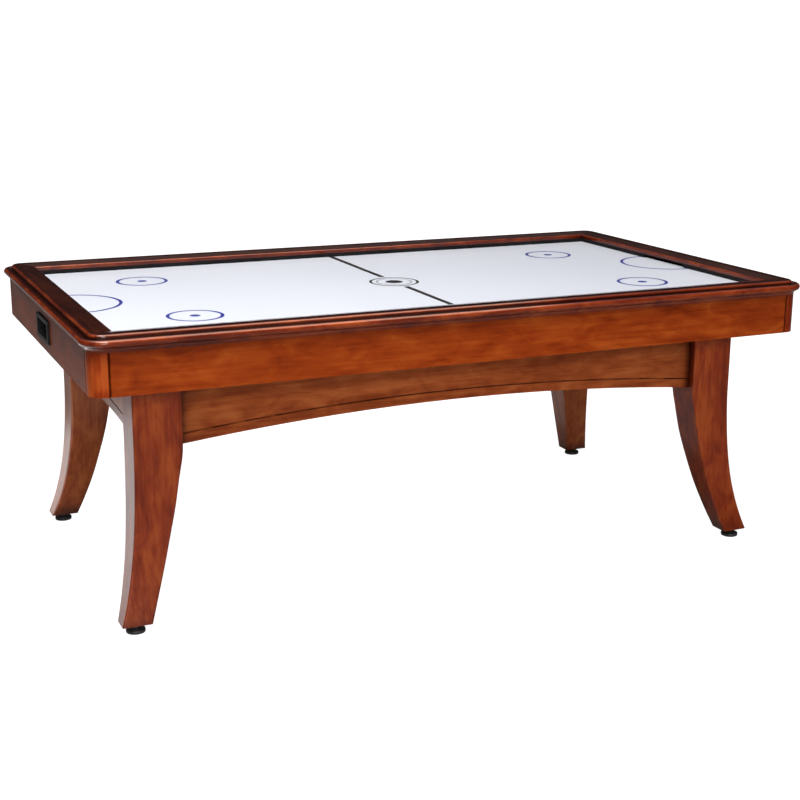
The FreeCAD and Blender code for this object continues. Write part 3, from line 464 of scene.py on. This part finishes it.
def add_ring(mesh, centre, r_in, r_out, z0, z1):
    add_sector(mesh, centre, r_in, r_out, 0, 2 * math.pi, 96, z0, z1)


def add_plate(mesh, outline, z0, z1):
    """Thin flat plate with the given outline."""
    low = [mesh.verts.new((x, y, z0)) for x, y in outline]
    high = [mesh.verts.new((x, y, z1)) for x, y in outline]
    mesh.faces.new(low)
    mesh.faces.new(high)
    for i in range(len(outline)):
        j = (i + 1) % len(outline)
        mesh.faces.new((low[i], low[j], high[j], high[i]))


def add_disc(mesh, centre, r, steps, z0, z1):
    add_plate(mesh, list(arc_points(centre, r, 0, 2 * math.pi, steps, steps)), z0, z1)


def add_bar(mesh, x0, x1, y0, y1, z0, z1):
    add_plate(mesh, [(x0, y0), (x1, y0), (x1, y1), (x0, y1)], z0, z1)


def print_marks():
    """Face-off spots, goal creases, centre line and a plain centre mark."""
    z0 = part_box("playfield")[1].z
    z1 = z0 + INK
    inner_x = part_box("liner_right")[0].x
    inner_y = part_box("liner_back")[0].y
    ring_in, ring_out = RING_R - RING_LINE / 2, RING_R + RING_LINE / 2
    crease_in, crease_out = CREASE_R - RING_LINE / 2, CREASE_R + RING_LINE / 2
    blue = printed("ink_blue", (0.011, 0.020, 0.25))
    black = printed("ink_black", (0.010, 0.010, 0.012))
    grey = printed("ink_grey", (0.30, 0.31, 0.34))

    spots = bmesh.new()
    for sx in (-1, 1):
        for sy in (-1, 1):
            centre = (sx * SPOT_X, sy * SPOT_Y)
            add_ring(spots, centre, ring_in, ring_out, z0, z1)
            add_disc(spots, centre, DOT_R, 40, z0, z1)
    add_mesh("face_off_spots", spots, blue)

    creases = bmesh.new()
    reach = math.pi / 2 - CREASE_CLEAR
    for x, facing in ((inner_x, math.pi), (-inner_x, 0)):
        add_sector(creases, (x, 0), crease_in, crease_out,
                   facing - reach, facing + reach, 72, z0, z1)
    add_mesh("goal_creases", creases, blue)

    line = bmesh.new()
    for y0, y1 in ((-inner_y + LINE_CLEAR, LINE_GAP[0]), (LINE_GAP[1], inner_y - LINE_CLEAR)):
        add_bar(line, -LINE_HALF, LINE_HALF, y0, y1, z0, z1)
    add_mesh("centre_line", line, black)

    middle = (0.0, (LINE_GAP[0] + LINE_GAP[1]) / 2)
    mark = bmesh.new()
    add_ring(mark, middle, MARK_R - MARK_HALF, MARK_R + MARK_HALF, z0, z1)
    add_disc(mark, middle, MARK_DISC_R, 48, z0, z1)
    add_mesh("centre_mark", mark, black)
    halo = bmesh.new()
    add_ring(halo, middle, HALO_IN, HALO_OUT, z0, z1)
    add_mesh("centre_halo", halo, grey)


# ---------------------------------------------------------------- stage

def make_camera():
    data = bpy.data.cameras.new("camera")
    data.sensor_width = SENSOR_WIDTH
    data.lens = CAMERA_LENS
    data.clip_start, data.clip_end = CLIP_NEAR, CLIP_FAR
    camera = bpy.data.objects.new("camera", data)
    bpy.context.scene.collection.objects.link(camera)
    turn = (Matrix.Rotation(math.radians(-CAMERA_YAW), 4, "Z")
            @ Matrix.Rotation(math.radians(90 - CAMERA_PITCH), 4, "X")
            @ Matrix.Rotation(math.radians(CAMERA_ROLL), 4, "Z"))
    camera.matrix_world = Matrix.Translation(CAMERA_AT) @ turn
    bpy.context.scene.camera = camera


def floor_paper():
    """Pale paper that the camera sees as white, and that throws back a little light."""
    look = Look("floor_paper")
    drift = look.noise(look.place, 1.5, 2.0)
    tint = look.mix(drift, (0.36, 0.36, 0.36, 1), (0.38, 0.38, 0.38, 1))
    paper = shader_node(look.tree, "BsdfPrincipled", {
        "Base Color": tint, "Roughness": 0.9, "Specular IOR Level": 0.0})
    glow = shader_node(look.tree, "Emission", {"Color": WHITE, "Strength": FLOOR_GLOW})
    lit = shader_node(look.tree, "AddShader", {0: paper.outputs[0], 1: glow.outputs[0]})
    path = shader_node(look.tree, "LightPath")
    both = shader_node(look.tree, "MixShader", {
        0: path.outputs["Is Camera Ray"], 1: paper.outputs[0], 2: lit.outputs[0]})
    shader_node(look.tree, "OutputMaterial", {"Surface": both.outputs[0]})
    return look.material


def make_floor():
    mesh = bmesh.new()
    steps = 96
    rings = [[mesh.verts.new((x, y, 0))
              for x, y in arc_points((0, 0), r, 0, 2 * math.pi, steps, steps)]
             for r in FLOOR_RADII]
    mesh.faces.new(rings[0])
    for inner, outer in zip(rings, rings[1:]):
        for i in range(steps):
            j = (i + 1) % steps
            mesh.faces.new((inner[i], outer[i], outer[j], inner[j]))
    bmesh.ops.recalc_face_normals(mesh, faces=mesh.faces)
    data = bpy.data.meshes.new("floor")
    mesh.to_mesh(data)
    mesh.free()
    floor = bpy.data.objects.new("floor", data)
    bpy.context.scene.collection.objects.link(floor)
    data.materials.append(floor_paper())


def area_light(name, at, target, width, height, watts, colour=(1, 1, 1)):
    """Soft rectangular light that the camera doesn't see."""
    data = bpy.data.lights.new(name, "AREA")
    data.shape = "RECTANGLE"
    data.size, data.size_y = width, height
    data.energy = watts
    data.color = colour
    light = bpy.data.objects.new(name, data)
    bpy.context.scene.collection.objects.link(light)
    light.location = at
    light.rotation_mode = "QUATERNION"
    light.rotation_quaternion = (Vector(at) - Vector(target)).to_track_quat("Z", "Y")
    light.visible_camera = False
    return light


def pool_light(name, x, y, width, height, watts):
    """Light on the floor, facing up, that shows only as a sheen."""
    pool = area_light(name, (x, y, POOL_Z), (x, y, 1.0), width, height, watts)
    pool.visible_diffuse = False


def make_world():
    """Room light that fades to dark near the horizon, so level gloss stays dark."""
    world = bpy.data.worlds.new("studio")
    bpy.context.scene.world = world
    world.use_nodes = True
    tree = world.node_tree
    tree.nodes.clear()
    path = shader_node(tree, "LightPath")
    up = shader_node(tree, "SeparateXYZ", {
        0: shader_node(tree, "TexCoord").outputs["Generated"]})
    rise = shader_node(tree, "MapRange", {
        0: up.outputs[2], 1: WORLD_RISE, 2: 1.0, 3: WORLD_LOW, 4: WORLD_HIGH})
    seen = shader_node(tree, "Background", {"Color": WHITE, "Strength": WORLD_SEEN})
    cast = shader_node(tree, "Background", {"Color": WHITE, "Strength": rise.outputs[0]})
    both = shader_node(tree, "MixShader", {
        0: path.outputs["Is Camera Ray"], 1: cast.outputs[0], 2: seen.outputs[0]})
    shader_node(tree, "OutputWorld", {"Surface": both.outputs[0]})


def make_lights():
    daylight = (1.0, 0.985, 0.96)
    area_light("overhead", (-1.5, -1.5, 4.1), (-0.2, 0, 0.8), 2.4, 0.9, 178, (1.0, 0.97, 0.93))
    strip = area_light("strip", (-0.3, -1.3, 3.9), (-0.3, -1.3, 0.8), 4.6, 3.4, 390,
                       (1.0, 0.70, 0.52))
    strip.visible_diffuse = False
    area_light("key", (-1.5, -10.0, 4.5), (0.0, 0, 0.6), 3.9, 2.2, 275, daylight)
    area_light("fill", (-2.4, -10.0, 1.6), (0.0, 0, 0.4), 3.9, 1.6, 160, daylight)
    behind = area_light("behind", (3.5, 8.5, 3.2), (0.0, 0, 0.5), 3.5, 2.5, 170)
    behind.visible_glossy = False
    pool_light("pool", -1.5, 0.45, 1.0, 2.4, 9.5)
    pool_light("shine", 0.1, 0.8, 1.4, 1.6, 2.4)


# ---------------------------------------------------------------- run

bpy.context.scene.view_settings.view_transform = "Standard"
make_camera()
make_floor()
make_world()
make_lights()
finish_woodwork()
finish_plastics()
finish_metals()
print_marks()
